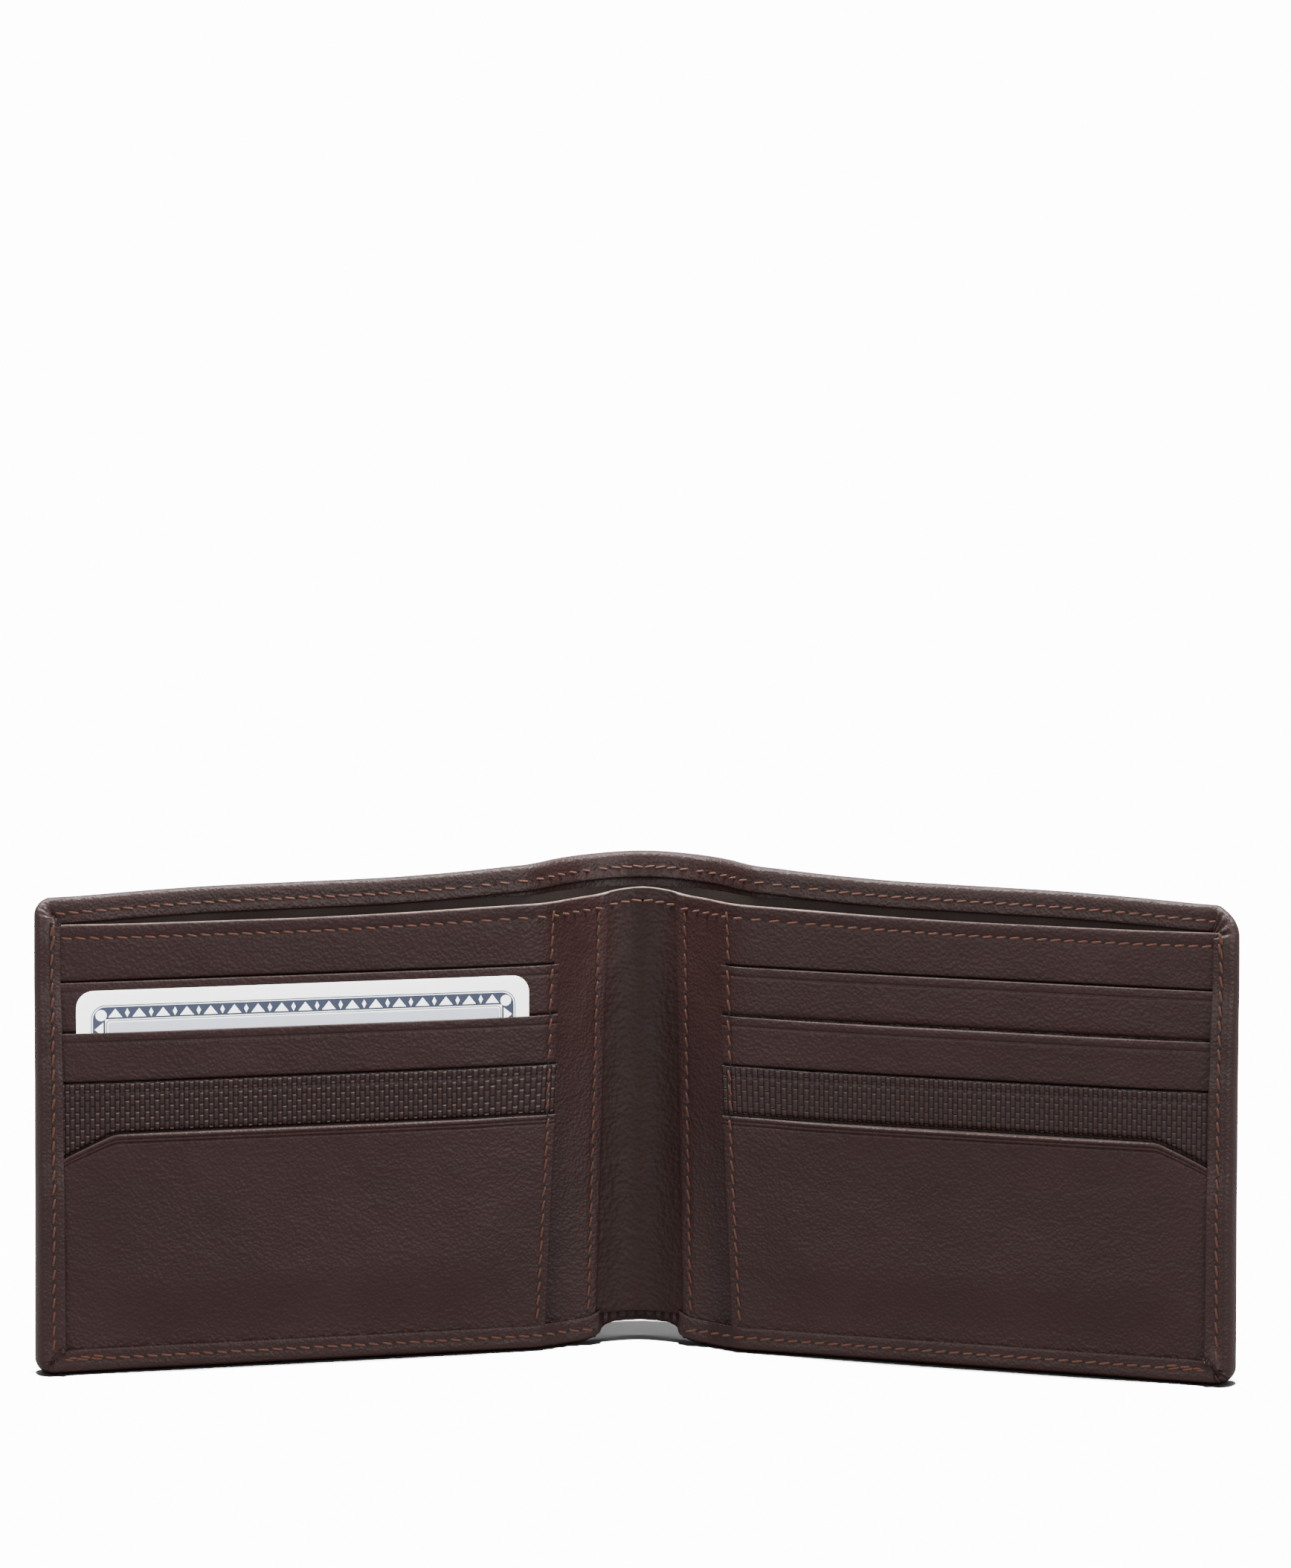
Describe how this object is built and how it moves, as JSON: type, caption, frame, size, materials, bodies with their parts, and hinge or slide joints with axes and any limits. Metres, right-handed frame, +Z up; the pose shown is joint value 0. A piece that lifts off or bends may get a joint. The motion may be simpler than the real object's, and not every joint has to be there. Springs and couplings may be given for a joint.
{
  "type": "bifold wallet",
  "caption": "Leather bifold wallet standing open, with a bill compartment behind two leaves of stepped card pockets, a woven accent band and a sliding card.",
  "frame": {"origin": "centre of the bounding box at its base, on the surface that the open wallet stands on", "axes": "+Z up, +X to the right along the open wallet as seen from inside, +Y towards the back of the spine; the inside faces -Y"},
  "size_m": [0.2232, 0.0494, 0.089],
  "materials": {
    "shell_leather": "semi-matte dark brown, fine pebbled grain",
    "panel_leather": "semi-matte dark brown, fine pebbled grain",
    "spine_leather": "soft, slightly darker brown, fine grain",
    "woven_band": "coarse ballistic weave, dark brown with pale flecks",
    "lining_fabric": "plain near-black brown lining",
    "reinforcement": "bonded fibre board",
    "thread": "twisted rust-brown thread",
    "card_plastic": null
  },
  "bodies": {
    "spine": {"spine_shell": "shell_leather", "spine_shell_lining": "lining_fabric", "spine_inner_leather": "spine_leather", "spine_inner_lining": "lining_fabric", "spine_hem_stitching": "thread", "spine_top_stitching": "thread"},
    "left_leaf": {"left_shell": "shell_leather", "left_stiffener": "reinforcement", "left_shell_lining": "lining_fabric", "left_compartment_lining": "lining_fabric", "left_inner_panel": "panel_leather", "left_pocket_1_body": "lining_fabric", "left_pocket_1_facing": "panel_leather", "left_pocket_2_body": "lining_fabric", "left_pocket_2_facing": "panel_leather", "left_pocket_3_body": "lining_fabric", "left_pocket_3_woven_band": "woven_band", "left_front_pocket_lining": "lining_fabric", "left_front_pocket": "panel_leather", "left_hem_stitching": "thread", "left_panel_top_stitching": "thread", "left_pocket_side_stitching": "thread", "left_spine_side_stitching": "thread", "left_pocket_base_stitching": "lining_fabric"},
    "right_leaf": {"right_shell": "shell_leather", "right_stiffener": "reinforcement", "right_shell_lining": "lining_fabric", "right_compartment_lining": "lining_fabric", "right_inner_panel": "panel_leather", "right_pocket_1_body": "lining_fabric", "right_pocket_1_facing": "panel_leather", "right_pocket_2_body": "lining_fabric", "right_pocket_2_facing": "panel_leather", "right_pocket_3_body": "lining_fabric", "right_pocket_3_woven_band": "woven_band", "right_front_pocket_lining": "lining_fabric", "right_front_pocket": "panel_leather", "right_hem_stitching": "thread", "right_panel_top_stitching": "thread", "right_pocket_side_stitching": "thread", "right_spine_side_stitching": "thread", "right_pocket_base_stitching": "lining_fabric"},
    "card": {"card": "card_plastic"}
  },
  "joints": [
    {"name": "left_fold", "type": "hinge", "parent": "spine", "child": "left_leaf", "pos_m": [-0.0075, 0.01273, 0.0445], "axis": [0, 0, 1], "range_deg": [-16.5, 73.5]},
    {"name": "right_fold", "type": "hinge", "parent": "spine", "child": "right_leaf", "pos_m": [0.0075, 0.01273, 0.0445], "axis": [0, 0, 1], "range_deg": [-73.5, 16.5]},
    {"name": "card_slide", "type": "slide", "parent": "left_leaf", "child": "card", "axis": [0, 0, 1], "range_m": [0, 0.05]}
  ],
  "couplings": [
    {"joint": "right_fold", "follows": "left_fold", "ratio": -1}
  ]
}
